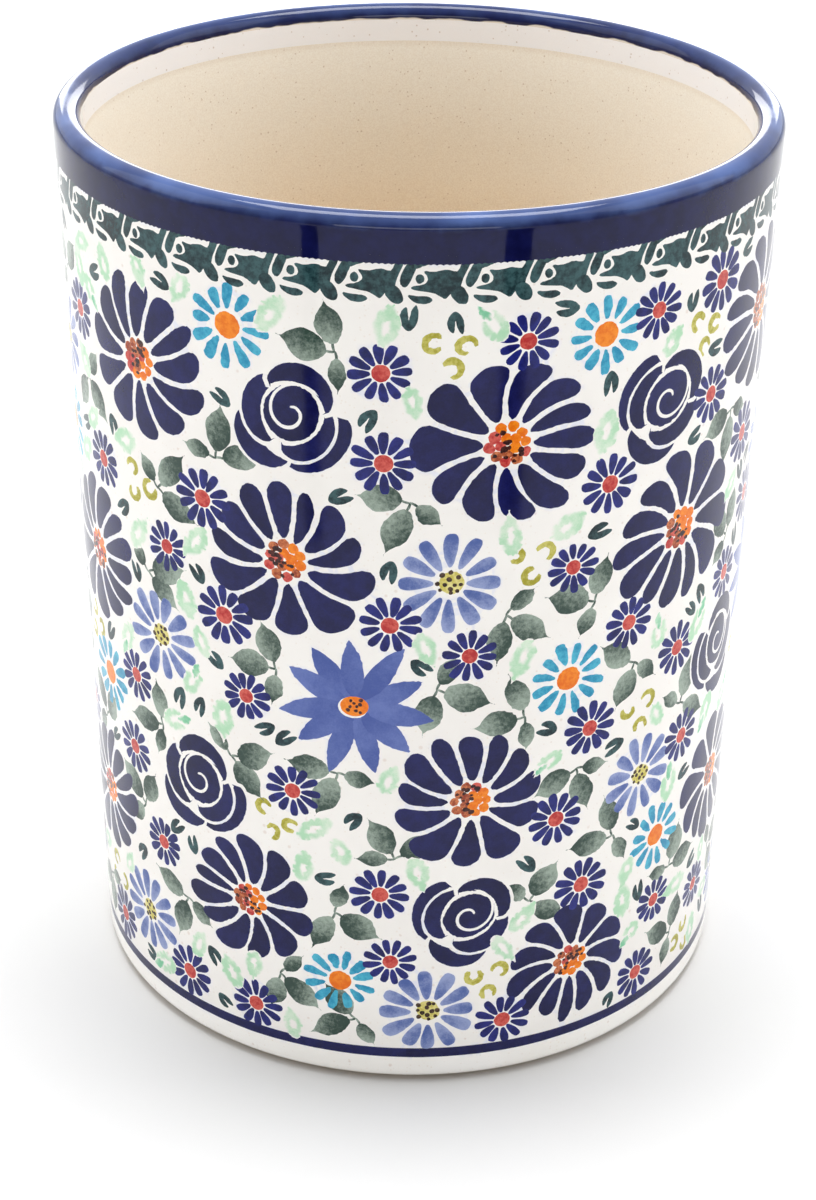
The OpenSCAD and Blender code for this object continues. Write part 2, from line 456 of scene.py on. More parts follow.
def border_stamp(rng):
    """One repeat of the leaf border: a pointed leaf, a lobe, a tongue, a flat leaf and a dot."""
    parts = (STAR_LEAF, HANGING_LOBE, TONGUE, BAND_EDGE, FLAT_LEAF)
    marks = [Mark("fir", waver(rounded(part), rng, 0.06), NO_SPINE) for part in parts]
    return marks + [disc(rng, "fir", 5.7, 0.7, 0.78, 0.9)]


# ---------------------------------------------------------------- layout

BORDER_REPEATS = 39
# How far the middle of a border stamp lies below the cobalt band
STAMP_DROP = 3.1


class Sheet:
    """The unrolled painted coat: marks in painting order, and the cells of ground that they take."""

    CELL = 0.4
    TRIAL_TURNS = 18

    def __init__(self):
        self.marks = []
        self.under = []
        self.columns = int(round(AROUND / self.CELL))
        self.rows = int(math.ceil((BORDER_Z - LINE_TOP_Z) / self.CELL))
        self.taken = np.zeros((self.rows, self.columns), bool)

    def cells(self, u, v, reach):
        """Rows and columns of the cells about a point; the columns are wrapped round the jar where they are
        used.
        """
        span = int(math.ceil(reach / self.CELL))
        column, row = int(round(u / self.CELL)), int(round((v - LINE_TOP_Z) / self.CELL))
        rows = np.arange(max(row - span, 0), min(row + span + 1, self.rows))
        columns = np.arange(column - span, column + span + 1)
        return rows, columns

    def cover(self, outline, margin=0.25):
        """Marks the cells under an outline as taken."""
        low, high = outline.min(0) - margin, outline.max(0) + margin
        columns = np.arange(int(low[0] / self.CELL) - 1, int(high[0] / self.CELL) + 2)
        first, last = (int((height - LINE_TOP_Z) / self.CELL) for height in (low[1], high[1]))
        rows = np.arange(first - 1, last + 2)
        rows = rows[(rows >= 0) & (rows < self.rows)]
        if not len(rows):
            return
        cu, cv = np.meshgrid(columns * self.CELL, rows * self.CELL + LINE_TOP_Z)
        hit = inside(outline, np.stack([cu.ravel(), cv.ravel()], 1)).reshape(cu.shape)
        near = hit.copy()
        near[1:] |= hit[:-1]
        near[:-1] |= hit[1:]
        near[:, 1:] |= hit[:, :-1]
        near[:, :-1] |= hit[:, 1:]
        self.taken[np.ix_(rows, columns % self.columns)] |= near

    def free(self, u, v, reach, share=1.0):
        """True if the disc about (u, v) lies in the flower field and enough of it is bare ground."""
        if not LINE_TOP_Z + reach < v < BORDER_Z - reach:
            return False
        rows, columns = self.cells(u, v, reach)
        cu, cv = np.meshgrid(columns * self.CELL - u, rows * self.CELL + LINE_TOP_Z - v)
        ring = cu ** 2 + cv ** 2 <= reach ** 2
        return (~self.taken[np.ix_(rows, columns % self.columns)])[ring].mean() >= share

    def hidden(self, outline):
        """How many points of an outline fall where something is painted already, or off the field."""
        rows = np.rint((outline[:, 1] - LINE_TOP_Z) / self.CELL).astype(int)
        columns = np.rint(outline[:, 0] / self.CELL).astype(int) % self.columns
        off = (rows < 0) | (rows >= self.rows)
        return int((off | self.taken[np.clip(rows, 0, self.rows - 1), columns]).sum())

    def tuck(self, motif, u, v, rng):
        """Paints a motif under the others, turned so that they hide as little of it as possible."""
        marks = motif(rng)
        trials = [360 / self.TRIAL_TURNS * i for i in range(self.TRIAL_TURNS)]

        def loss(turn):
            return sum(self.hidden(spin(mark.outline, turn) + (u, v)) for mark in marks)

        best = min(trials, key=loss)
        self.paint([turned_mark(mark, best) for mark in marks], u, v, rng, self.under)

    def add(self, motif, u, v, rng, tilt=0.0, scale=1.0):
        """Paints a motif with its centre at (u, v)."""
        sized = [Mark(mark.paint, mark.outline * scale, mark.spine * scale) for mark in motif(rng)]
        self.paint([turned_mark(mark, tilt) for mark in sized], u, v, rng, self.marks)

    def paint(self, marks, u, v, rng, layer):
        """Adds marks to a layer, with their origin at (u, v), a tone and a direction of shading."""
        for mark in marks:
            outline = mark.outline + (u, v)
            placed = Mark(mark.paint, outline, mark.spine + (u, v))
            layer.append((placed, rng.uniform(-1, 1), rng.uniform(0, TURN)))
            if mark.paint != "ground":
                self.cover(outline)

    def scatter(self, motif, reach, tries, apart, rng, size=(1.0, 1.0), share=1.0, under=False):
        """Paints a motif wherever random throws find bare ground, apart from the others of this scatter."""
        found = []
        for _ in range(tries):
            u, v = rng.uniform(0, AROUND), rng.uniform(LINE_TOP_Z, BORDER_Z)
            near = any(distance(u, v, a, b) < apart for a, b in found)
            if near or not self.free(u, v, reach, share):
                continue
            if under:
                self.tuck(motif, u, v, rng)
            else:
                self.add(motif, u, v, rng, scale=rng.uniform(*size))
            found.append((u, v))


def distance(u, v, a, b):
    """Distance between two places of the sheet, which closes on itself round the jar."""
    return math.hypot((u - a + AROUND / 2) % AROUND - AROUND / 2, v - b)


def inside(outline, points):
    """True for each point inside a closed outline."""
    x, y = points[:, 0][:, None], points[:, 1][:, None]
    x0, y0 = outline[:, 0][None], outline[:, 1][None]
    x1, y1 = np.roll(outline[:, 0], -1)[None], np.roll(outline[:, 1], -1)[None]
    crosses = (y0 > y) != (y1 > y)
    with np.errstate(divide="ignore", invalid="ignore"):
        at = x0 + (y - y0) * (x1 - x0) / (y1 - y0)
    return (crosses & (x < at)).sum(1) % 2 == 1


def paint_field():
    """The whole painted sheet: flowers from large to small, leaves tucked under them, then small fillers."""
    sheet = Sheet()
    rng = random.Random("field 3")
    sheet.scatter(great_daisy, 14.2, 3000, 42, rng, (0.88, 1.06))
    sheet.scatter(rose, 10.6, 3000, 56, rng, (0.92, 1.04))
    sheet.scatter(star_flower, 11.2, 3000, 78, rng, (0.95, 1.04))
    sheet.scatter(pale_daisy, 8.6, 3000, 58, rng, (0.92, 1.06))
    sheet.scatter(turquoise_daisy, 6.8, 3000, 46, rng, (0.94, 1.06))
    sheet.scatter(aster, 4.8, 9000, 15.5, rng, (0.9, 1.1), 0.97)
    sheet.scatter(curl, 4.5, 3000, 42, rng, share=0.85, under=True)
    sheet.scatter(sprig, 5.8, 9000, 17, rng, share=0.76, under=True)
    sheet.scatter(notched_leaf, 2.2, 5000, 13, rng, share=0.98)
    sheet.scatter(mint_leaf, 3.4, 5000, 9, rng, share=0.86)
    sheet.scatter(sprig, 5.2, 1500, 12, rng, (0.85, 0.85), 0.97)
    sheet.scatter(mint_leaf, 2.9, 5000, 7, rng, (0.85, 0.85), 0.84)
    sheet.scatter(notched_leaf, 1.9, 5000, 7, rng, (0.9, 0.9))

    stamps = random.Random("border")
    for i in range(BORDER_REPEATS):
        u = AROUND * (i + 0.5) / BORDER_REPEATS
        sheet.add(border_stamp, u, BAND_Z - STAMP_DROP, stamps, stamps.uniform(-1.5, 1.5))
    return sheet


# Scallops round the jar along the cobalt band, and waves round the jar along every band's edges
SCALLOPS = 400
EDGE_WAVES = (5, 9, 14, 23, 37, 61, 97, 151)


def ripple(u, seed, size):
    """A wavy edge that closes on itself round the jar."""
    rng = random.Random(seed)
    angle = u / FLAT_R
    return sum(size / math.sqrt(k) * math.sin(k * angle + rng.uniform(0, TURN)) for k in EDGE_WAVES)


def band(low, high, paint, start, end, seed, low_wave, high_wave, notch=0.0):
    """A painted band between two heights, with hand-drawn edges; notch scallops the lower one."""
    us = np.linspace(start, end, steps(end - start, 0.22 if notch else 0.6))
    lower = []
    for u in us:
        scallop = notch * abs(math.sin(SCALLOPS / 2 * u / FLAT_R))
        lower.append((u, low + ripple(u, seed, low_wave) + scallop))
    upper = [(u, high + ripple(u, seed + 1, high_wave)) for u in us[::-1]]
    return (Mark(paint, np.array(lower + upper), NO_SPINE), 0.0, 0.0)


# ---------------------------------------------------------------- the sheet as meshes on the wall

def on_wall(u, v, depth=0.0):
    """Points of the sheet rolled onto the wall, in metres. u = 0 faces the front, -Y."""
    angle = u / FLAT_R
    r = wall_r(v) + hand(angle, v) - depth
    return np.stack([r * np.sin(angle), -r * np.cos(angle), v], 1) * MM


def wall_normals(u, v):
    """Outward normals of the wall, with its slight wandering."""
    step = 0.2
    along = on_wall(u + step, v) - on_wall(u - step, v)
    up = on_wall(u, v + step) - on_wall(u, v - step)
    normal = np.cross(along, up)
    return normal / np.linalg.norm(normal, axis=1)[:, None]


# Spacing of the loose grid of points, and how far each is thrown off it, in millimetres
GRID = 1.25
GRID_THROW = 0.35
PANELS = 6
BACK_CELLS = 12


def sheet_panel(sheet, number):
    """One upright panel of the painted coat, as a closed thin mesh."""
    start, end = AROUND * number / PANELS, AROUND * (number + 1) / PANELS
    marks = [band(SHEET_LOW - 2, LINE_Z + 0.6, "cream", start - 2, end + 2, 5, 0, 0)]
    marks.append(band(LINE_Z, LINE_TOP_Z, "cobalt", start - 2, end + 2, 11, 0.06, 0.025))
    for mark, tone, lean in sheet.under + sheet.marks:
        for shift in (-AROUND, 0, AROUND):
            moved = mark.outline + (shift, 0)
            if moved[:, 0].max() > start and moved[:, 0].min() < end:
                marks.append((Mark(mark.paint, moved, mark.spine + (shift, 0)), tone, lean))
    marks.append(band(BAND_Z, SHEET_HIGH + 2, "band_blue", start - 2, end + 2, 21, 0.07, 0, 0.2))

    rng = random.Random(number)
    columns = int(round((end - start) / GRID))
    rows = int(round((SHEET_HIGH - SHEET_LOW) / GRID))
    points, edges = [], []
    for row in range(rows + 1):
        v = SHEET_LOW + (SHEET_HIGH - SHEET_LOW) * row / rows
        for column in range(columns + 1):
            u = start + (end - start) * column / columns
            if 0 < column < columns and 0 < row < rows:
                u += rng.uniform(-GRID_THROW, GRID_THROW)
                points.append((u, v + rng.uniform(-GRID_THROW, GRID_THROW)))
            else:
                points.append((u, v))
    corner = [0, columns, (rows + 1) * (columns + 1) - 1, rows * (columns + 1)]
    edges += [(corner[i], corner[(i + 1) % 4]) for i in range(4)]
    for mark, _, _ in marks:
        first, count, spine = len(points), len(mark.outline), len(mark.spine)
        points += [tuple(p) for p in mark.outline] + [tuple(p) for p in mark.spine]
        edges += [(first + i, first + (i + 1) % count) for i in range(count)]
        edges += [(first + count + i, first + count + i + 1) for i in range(spine - 1)]

    flat, _, faces, _, _, _ = delaunay_2d_cdt([Vector(p) for p in points], edges, [], 0, 1e-4, False)
    flat = np.array([tuple(p) for p in flat])
    faces = np.array([f for f in faces if len(f) == 3])
    centre = flat[faces].mean(1)
    keep = (centre > (start, SHEET_LOW)) & (centre < (end, SHEET_HIGH))
    keep = keep.all(1)
    faces, centre = faces[keep], centre[keep]
    used = np.unique(faces)
    renumber = np.full(len(flat), -1)
    renumber[used] = np.arange(len(used))
    flat, faces = flat[used], renumber[faces]

    paint = np.zeros(len(faces), int)
    tone = np.zeros(len(faces))
    lean = np.zeros((len(faces), 3))
    by_u = np.argsort(centre[:, 0])
    sorted_u = centre[by_u, 0]
    for (name, outline, _), mark_tone, direction in marks:
        low, high = outline.min(0), outline.max(0)
        some = by_u[np.searchsorted(sorted_u, low[0]):np.searchsorted(sorted_u, high[0])]
        some = some[(centre[some, 1] > low[1]) & (centre[some, 1] < high[1])]
        some = some[inside(outline, centre[some])]
        paint[some] = PAINT_INDEX[name]
        tone[some] = mark_tone
        middle, reach = (low + high) / 2, max(*(high - low), 0.1) / 2
        offset = (flat[faces[some]] - middle) / reach
        lean[some] = offset[..., 0] * math.cos(direction) + offset[..., 1] * math.sin(direction)

    bleeds = changes(np.isin(paint, [PAINT_INDEX[blue] for blue in BLUES]), faces, len(flat))
    marks_of_point = {"edge": changes(paint, faces, len(flat)), "bleed": bleeds}
    return close_panel(f"painted_coat_{number + 1}", flat, faces, paint, tone, lean, marks_of_point)


def boundary_loop(faces):
    """The outer edge of a triangulated patch, as vertex numbers in order."""
    pairs = np.concatenate([faces[:, [0, 1]], faces[:, [1, 2]], faces[:, [2, 0]]])
    seen = {(int(a), int(b)) for a, b in pairs}
    onward = {a: b for a, b in seen if (b, a) not in seen}
    first = next(iter(onward))
    loop = [first]
    while onward[loop[-1]] != first:
        loop.append(onward[loop[-1]])
    return loop


def changes(values, faces, count):
    """True for each point where faces with different values meet."""
    lowest, highest = np.full(count, 99), np.full(count, -1)
    for k in range(3):
        np.minimum.at(lowest, faces[:, k], values)
        np.maximum.at(highest, faces[:, k], values)
    return lowest != highest


def close_panel(name, flat, faces, paint, tone, lean, point_values):
    """Rolls a flat patch onto the wall and gives it a plain back, so that the coat is a closed solid."""
    loop = boundary_loop(faces)
    front = on_wall(flat[:, 0], flat[:, 1])
    back = on_wall(flat[loop, 0], flat[loop, 1], COAT)
    count, edge = len(front), len(loop)
    polygons = [tuple(f) for f in faces]
    for i in range(edge):
        j = (i + 1) % edge
        polygons.append((loop[j], loop[i], count + i, count + j))
    mesh = bpy.data.meshes.new(name)
    inner, inner_faces = back_face(flat[loop], count)
    mesh.from_pydata([tuple(p) for p in np.concatenate([front, back, inner])], [], polygons + inner_faces)
    total, painted = len(mesh.polygons), len(faces)

    mesh.polygons.foreach_set("material_index", np.concatenate([paint, np.zeros(total - painted, int)]))
    mesh.polygons.foreach_set("use_smooth", np.ones(total, bool))
    loops = len(mesh.loops)
    put_attribute(mesh, "tone", "FACE", np.concatenate([tone, np.zeros(total - painted)]))
    corner = np.zeros(loops)
    corner[:painted * 3] = lean.ravel()
    put_attribute(mesh, "lean", "CORNER", corner)
    points = len(mesh.vertices)
    for attribute, values in point_values.items():
        put_attribute(mesh, attribute, "POINT", np.concatenate([values, np.zeros(points - count)]))

    normals = np.zeros((loops, 3))
    normals[:painted * 3] = wall_normals(flat[:, 0], flat[:, 1])[faces.ravel()]
    flat_normals = np.array([tuple(p.normal) for p in mesh.polygons[painted:]])
    sizes = np.array([p.loop_total for p in mesh.polygons[painted:]])
    normals[painted * 3:] = np.repeat(flat_normals, sizes, axis=0)
    mesh.normals_split_custom_set([tuple(n) for n in normals])
    return add_piece(name, mesh)


def back_face(ring, first):
    """The back of a panel: points inside its edge, and the faces that fill it."""
    offset = first + len(ring)
    low_u, high_u = ring[:, 0].min(), ring[:, 0].max()
    extra = []
    for i in range(1, BACK_CELLS):
        u = low_u + (high_u - low_u) * i / BACK_CELLS
        for j in range(1, BACK_CELLS):
            extra.append((u, SHEET_LOW + (SHEET_HIGH - SHEET_LOW) * j / BACK_CELLS))
    points = [Vector(p) for p in ring] + [Vector(p) for p in extra]
    edges = [(i, (i + 1) % len(ring)) for i in range(len(ring))]
    flat, _, faces, origins, _, _ = delaunay_2d_cdt(points, edges, [], 1, 1e-6, True)
    number = [first + o[0] if o[0] < len(ring) else offset + o[0] - len(ring) for o in origins]
    extra = np.array(extra)
    return on_wall(extra[:, 0], extra[:, 1], COAT), [tuple(number[i] for i in reversed(f)) for f in faces]


def put_attribute(mesh, name, domain, values):
    """Stores one number for each vertex, corner or face."""
    mesh.attributes.new(name, "FLOAT", domain).data.foreach_set("value", np.asarray(values, np.float32))


def add_piece(name, mesh):
    """A new object for a mesh, linked to the scene."""
    piece = bpy.data.objects.new(name, mesh)
    bpy.context.scene.collection.objects.link(piece)
    return piece


# ---------------------------------------------------------------- turned pieces

def turned(name, profile):
    """A closed ring from a closed profile of (radius, height) in millimetres."""
    segments = 360
    profile = np.array(profile)
    angles = np.arange(segments) / segments * TURN
    rows = []
    for r, z in profile:
        rr = r + (hand(angles, z) if r > 1 else 0)
        rows.append(np.stack([rr * np.sin(angles), -rr * np.cos(angles), np.full(segments, z)], 1))
    points = np.concatenate(rows) * MM
    faces = []
    for i in range(len(profile)):
        j = (i + 1) % len(profile)
        for a in range(segments):
            b = (a + 1) % segments
            faces.append((i * segments + a, i * segments + b, j * segments + b, j * segments + a))
    mesh = bpy.data.meshes.new(name)
    mesh.from_pydata([tuple(p) for p in points], [], faces)
    mesh.polygons.foreach_set("use_smooth", np.ones(len(mesh.polygons), bool))
    mesh.set_sharp_from_angle(angle=math.radians(40))
    return add_piece(name, mesh)


def bend(cx, cz, radius, start, end, count):
    """Profile points along an arc, angles in degrees from +radius towards +z."""
    a = np.radians(np.linspace(start, end, count))
    return [(cx + radius * math.cos(t), cz + radius * math.sin(t)) for t in a]


def inner_r(z):
    """Inside radius of the plain cone at height z."""
    return wall_r(z) - WALL_T


def section(levels, radius_at):
    """Profile points up or down a wall, one for each height."""
    return [(radius_at(z), z) for z in levels]


def levels(start, end, spacing=1.5):
    """Evenly spaced heights from start to end."""
    return np.linspace(start, end, max(2, int(abs(end - start) / spacing) + 1))


def rim_coat():
    """Cobalt coat over the lip, from the painted sheet's upper edge round to the inner collar."""
    outer = section(levels(SHEET_HIGH, LIP_Z, 1.0), wall_r)
    lip = bend(RIM_R - LIP_R, LIP_Z, LIP_R, 0, 180, 25)[1:-1]
    inner = section(levels(LIP_Z, COLLAR_TOP_Z, 0.3), inner_r)
    back_in = section([COLLAR_TOP_Z, LIP_Z], lambda z: inner_r(z) + COAT)
    back_lip = bend(RIM_R - LIP_R, LIP_Z, LIP_R - COAT, 180, 0, 17)[1:-1]
    back_out = section([LIP_Z, SHEET_HIGH], lambda z: wall_r(z) - COAT)
    return turned("rim_coat", outer + lip + inner + back_in + back_lip + back_out)


def foot_coat():
    """Cream coat from the painted sheet's lower edge down over the foot rounding."""
    clay_low = bottom_mm("clay_wall")
    foot_round = (wall_r(clay_low - COAT) - RING_R) / (1 - TAPER)
    foot_z = clay_low - COAT + foot_round
    stop = -math.degrees(math.asin((foot_z - BARE_Z) / foot_round))
    outer = bend(RING_R, foot_z, foot_round, stop, 0, 12)
    outer += section(levels(foot_z, SHEET_LOW, 0.7), wall_r)[1:]
    inner = section([SHEET_LOW, foot_z], lambda z: wall_r(z) - COAT)
    inner += bend(RING_R, foot_z, foot_round - COAT, 0, stop, 10)[1:]
    return turned("foot_coat", outer + inner)


def inside_coat(name, low, high):
    """A coat on the inside of the wall."""
    back = section([low, high], lambda z: inner_r(z) + COAT)
    return turned(name, section(levels(high, low), inner_r) + back)


def floor_coat():
    """Coat on the floor and up the cove, as one closed dish."""
    cove = COVE_Z - FLOOR_Z
    cove_x = inner_r(COVE_Z) - cove
    top = bend(cove_x, COVE_Z, cove, 0, -90, 16) + [(r, FLOOR_Z) for r in (45, 33, 22, 12, 5, 0.02)]
    under = [(r, FLOOR_Z - COAT) for r in (0.02, 20, cove_x)]
    return turned("floor_coat", top + under + bend(cove_x, COVE_Z, cove + COAT, -90, 0, 12)[1:])


# ---------------------------------------------------------------- materials

class Finish:
    """A procedural glaze or clay. Its helpers add nodes; sizes are in millimetres."""

    def __init__(self, name):
        self.material = bpy.data.materials.new(name)
        self.material.use_nodes = True
        self.tree = self.material.node_tree
        self.surface = self.tree.nodes["Principled BSDF"]
        self.place = self.tree.nodes.new("ShaderNodeTexCoord").outputs["Object"]

    def feed(self, socket, value):
        """Sets a socket to a number or colour, or links it to another node's output."""
        if isinstance(value, bpy.types.NodeSocket):
            self.tree.links.new(value, socket)
        elif isinstance(value, tuple) and len(value) == 3:
            socket.default_value = (*value, 1)
        else:
            socket.default_value = value

    def noise(self, size, detail=2.0, roughness=0.5, shift=0.0):
        """Soft random value about 0.5 that changes over size."""
        node = self.tree.nodes.new("ShaderNodeTexNoise")
        node.noise_dimensions = "4D"
        self.feed(node.inputs["Vector"], self.place)
        self.feed(node.inputs["W"], shift)
        self.feed(node.inputs["Scale"], 1 / (size * MM))
        self.feed(node.inputs["Detail"], detail)
        self.feed(node.inputs["Roughness"], roughness)
        return node.outputs["Fac"]

    def cells(self, size):
        """Distance from the nearest of a field of random points, and a random value for each point."""
        node = self.tree.nodes.new("ShaderNodeTexVoronoi")
        self.feed(node.inputs["Vector"], self.place)
        self.feed(node.inputs["Scale"], 1 / (size * MM))
        return node.outputs["Distance"], node.outputs["Color"]

    def attribute(self, name):
        """A number stored on the mesh."""
        node = self.tree.nodes.new("ShaderNodeAttribute")
        node.attribute_name = name
        return node.outputs["Fac"]

    def axis(self, name):
        """One coordinate of the place on the jar, in metres: X, Y or Z."""
        node = self.tree.nodes.new("ShaderNodeSeparateXYZ")
        self.feed(node.inputs[0], self.place)
        return node.outputs[name]

    def radius(self):
        """Distance from the jar's axis, in metres."""
        level = self.tree.nodes.new("ShaderNodeVectorMath")
        level.operation = "MULTIPLY"
        self.feed(level.inputs[0], self.place)
        level.inputs[1].default_value = (1, 1, 0)
        length = self.tree.nodes.new("ShaderNodeVectorMath")
        length.operation = "LENGTH"
        self.feed(length.inputs[0], level.outputs["Vector"])
        return length.outputs["Value"]

    def calc(self, operation, a, b=0.0, c=0.0):
        """One step of arithmetic."""
        node = self.tree.nodes.new("ShaderNodeMath")
        node.operation = operation
        for socket, value in zip(node.inputs, (a, b, c)):
            self.feed(socket, value)
        return node.outputs[0]

    def between(self, value, low, high, start=0.0, end=1.0):
        """value moved from the range low..high to start..end, and held inside it."""
        node = self.tree.nodes.new("ShaderNodeMapRange")
        node.interpolation_type = "SMOOTHSTEP"
        for socket, number in zip(node.inputs, (value, low, high, start, end)):
            self.feed(socket, number)
        return node.outputs["Result"]

    def blend(self, share, a, b):
        """Colour a where share is 0 and colour b where it is 1."""
        node = self.tree.nodes.new("ShaderNodeMix")
        node.data_type = "RGBA"
        for socket, value in zip((node.inputs[0], node.inputs[6], node.inputs[7]), (share, a, b)):
            self.feed(socket, value)
        return node.outputs[2]

    def speckle(self, colour, size, share, tint, strength):
        """colour with small round specks of tint; share is how many of the cells carry one."""
        distance, random_colour = self.cells(size)
        split = self.tree.nodes.new("ShaderNodeSeparateColor")
        self.feed(split.inputs[0], random_colour)
        chosen = self.calc("LESS_THAN", split.outputs[0], share)
        reach = self.calc("MULTIPLY_ADD", split.outputs[1], 0.22, 0.12)
        round_speck = self.calc("SUBTRACT", 1.0, self.calc("DIVIDE", distance, reach))
        soft = self.between(round_speck, 0.0, 0.6, 0.0, strength)
        return self.blend(self.calc("MULTIPLY", soft, chosen), colour, tint)

    def glaze(self, colour, roughness=0.09, waviness=1.0):
        """Finishes the material as a glassy glaze over a colour."""
        self.feed(self.surface.inputs["Base Color"], colour)
        self.surface.inputs["IOR"].default_value = 1.35
        cloudy = self.between(self.noise(7.0, 3.0), 0.35, 0.7, roughness, roughness + 0.07)
        self.feed(self.surface.inputs["Roughness"], cloudy)
        self.relief(((14.0, 0.05 * waviness), (2.6, 0.006 * waviness)))
        return self.material

    def relief(self, waves):
        """Adds bumps, each given by its width and its height."""
        normal = None
        for size, height in waves:
            node = self.tree.nodes.new("ShaderNodeBump")
            self.feed(node.inputs["Distance"], height * MM)
            self.feed(node.inputs["Height"], self.noise(size, 2.0, shift=size))
            if normal:
                self.feed(node.inputs["Normal"], normal)
            normal = node.outputs["Normal"]
        self.feed(self.surface.inputs["Normal"], normal)


def ground_colour(finish, base, shade):
    """Warm white slip with faint clouds and very fine tan and rosy specks."""
    colour = finish.blend(finish.between(finish.noise(18, 3.0), 0.3, 0.7), srgb(base), srgb(shade))
    colour = finish.speckle(colour, 0.8, 0.5, srgb("#DFCBB4"), 0.25)
    colour = finish.speckle(colour, 1.6, 0.15, srgb("#C9AD9A"), 0.3)
    bleed = finish.calc("POWER", finish.attribute("bleed"), 3.0)
    uneven = finish.between(finish.noise(9.0, 2.0), 0.35, 0.65, 0.15, 0.5)
    return finish.blend(finish.calc("MULTIPLY", bleed, uneven), colour, srgb("#D5DBF1"))


def ground_finish(name, base, shade):
    """White coat that blue bleeds into from the paint beside it."""
    finish = Finish(name)
    return finish.glaze(ground_colour(finish, base, shade))


def paint_finish(name, thick, thin, mottle, size, rim, shading):
    """Underglaze paint: thicker and thinner by sponge and brush, lighter along the edge of each mark."""
    finish = Finish(name)
    patchy = finish.between(finish.noise(size, 4.0, 0.6), 0.32, 0.68, -0.5, 0.5)
    value = finish.calc("MULTIPLY_ADD", patchy, mottle, 0.42)
    grain = finish.between(finish.noise(0.32, 2.0, shift=3.0), 0.3, 0.7, -0.09, 0.09)
    value = finish.calc("ADD", value, grain)
    value = finish.calc("MULTIPLY_ADD", finish.attribute("tone"), 0.16, value)
    value = finish.calc("MULTIPLY_ADD", finish.attribute("lean"), shading, value)
    edge = finish.attribute("edge")
    value = finish.calc("MULTIPLY_ADD", finish.calc("POWER", edge, 2.0), rim * 0.5, value)
    colour = finish.blend(finish.between(value, 0.0, 1.0), srgb(thick), srgb(thin))
    if name in SOFT_PAINTS:
        dry = finish.between(finish.noise(1.8, 3.0, 0.5), 0.3, 0.7, 0.2, -0.2)
        cover = finish.between(finish.calc("ADD", edge, dry), 0.98, 0.1)
        colour = finish.blend(cover, ground_colour(finish, *PAINTS["ground"][:2]), colour)
    return finish.glaze(colour)


def rim_finish():
    """Cobalt glaze over the lip: thinner and paler along the top, where the pale grey-blue is partly thin
    glaze and partly a painted sheen; ragged where it meets the collar.
    """
    finish = Finish("rim_cobalt")
    patchy = finish.between(finish.noise(3.0, 4.0, 0.6), 0.3, 0.7, 0.2, 0.8)
    colour = finish.blend(patchy, *map(srgb, PAINTS["band_blue"][:2]))
    height = finish.axis("Z")
    # Painted sheen, partly thin glaze: the lip's top and outer side are blended, in patches, towards a pale
    # grey-blue.
    uneven = finish.between(finish.noise(5.0, 3.0), 0.3, 0.7, -0.4 * MM, 0.4 * MM)
    thin_glaze_and_sheen = finish.calc("ADD", height, uneven)
    thin_glaze_and_sheen = finish.between(thin_glaze_and_sheen, (LIP_Z - 0.2) * MM, (JAR_H - 0.6) * MM, 0.0, 0.9)
    thin_and_sheen_patches = finish.between(finish.noise(13.0, 2.0, shift=5.0), 0.35, 0.65, 0.45, 1.0)
    lip_centre = RIM_R - LIP_R
    outward = finish.between(finish.radius(), (lip_centre - 1.6) * MM, (lip_centre + 0.6) * MM, 0.35, 1.0)
    thin_glaze_and_sheen = finish.calc("MULTIPLY", thin_glaze_and_sheen, outward)
    # The pale grey-blue of the lip's top: partly thin glaze, partly painted sheen.
    colour = finish.blend(finish.calc("MULTIPLY", thin_glaze_and_sheen, thin_and_sheen_patches), colour, srgb("#4C6296"))
    ragged = finish.between(finish.noise(7.0, 2.0), 0.3, 0.7, -0.3 * MM, 0.3 * MM)
    ragged = finish.calc("ADD", height, ragged)
    bare = finish.between(ragged, (COLLAR_TOP_Z + 0.05) * MM, (COLLAR_TOP_Z + 0.35) * MM, 1.0, 0.0)
    within = finish.calc("LESS_THAN", finish.radius(), lip_centre * MM)
    colour = finish.blend(finish.calc("MULTIPLY", bare, within), colour, srgb("#E6E0D8"))
    return finish.glaze(colour, 0.05, 0.7)


def inner_finish(name, base, shade, top, seam, grain):
    """Slip inside the jar, finely specked, nearing top upwards (partly a whiter glaze, partly painted light
    on the upper inside); seam darkens a line under the collar.
    """
    finish = Finish(name)
    colour = finish.blend(finish.between(finish.noise(26, 3.0), 0.3, 0.7), srgb(base), srgb(shade))
    height = finish.axis("Z")
    # Painted light, partly a whiter glaze: the inside grows lighter towards the top, where more light falls.
    upper = finish.between(height, 0.36 * JAR_H * MM, 0.97 * JAR_H * MM, 0.0, 0.97)
    colour = finish.blend(upper, colour, srgb(top))
    under = finish.between(height, (COLLAR_Z - 1.6) * MM, (COLLAR_Z - 0.2) * MM, 0.0, seam)
    colour = finish.blend(under, colour, srgb("#B79C78"))
    sandy = finish.between(finish.noise(0.3, 2.0), 0.35, 0.65, 0.0, grain)
    # Less grain towards the top: part of the same painted light.
    sandy = finish.calc("MULTIPLY", sandy, finish.calc("MULTIPLY_ADD", upper, -0.6, 1.0))
    colour = finish.blend(sandy, colour, srgb("#A9865C"))
    colour = finish.speckle(colour, 0.8, 0.22, srgb("#9C7A55"), 0.4)
    return finish.glaze(colour, 0.1, 1.3)


